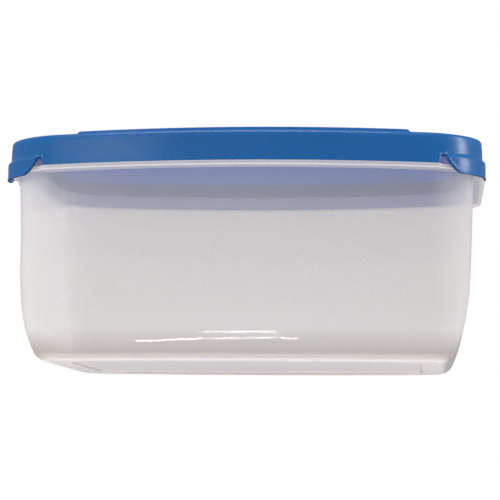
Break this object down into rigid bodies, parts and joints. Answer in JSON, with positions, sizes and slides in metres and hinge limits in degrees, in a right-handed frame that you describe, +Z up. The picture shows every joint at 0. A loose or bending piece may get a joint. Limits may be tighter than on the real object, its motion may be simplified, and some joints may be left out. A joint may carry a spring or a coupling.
{
  "type": "snap lid food container",
  "caption": "Rectangular translucent food tub with bowed long sides and a deep snap lid, with corner tabs and stacking rails.",
  "frame": {"origin": "centre of the underside, on the surface that the container stands on", "axes": "+X along the length, -Y towards the front long side with the two corner tabs, +Z up"},
  "size_m": [0.3018, 0.2408, 0.1434],
  "materials": {
    "tub_plastic": "translucent natural polypropylene, satin",
    "lid_plastic": "blue polyethylene, semi-gloss"
  },
  "bodies": {
    "tub": {"tub": "tub_plastic"},
    "lid": {"lid": "lid_plastic"}
  },
  "joints": [
    {"name": "lid_lift", "type": "slide", "parent": "tub", "child": "lid", "axis": [0, 0, 1], "range_m": [0, 0.08]}
  ]
}
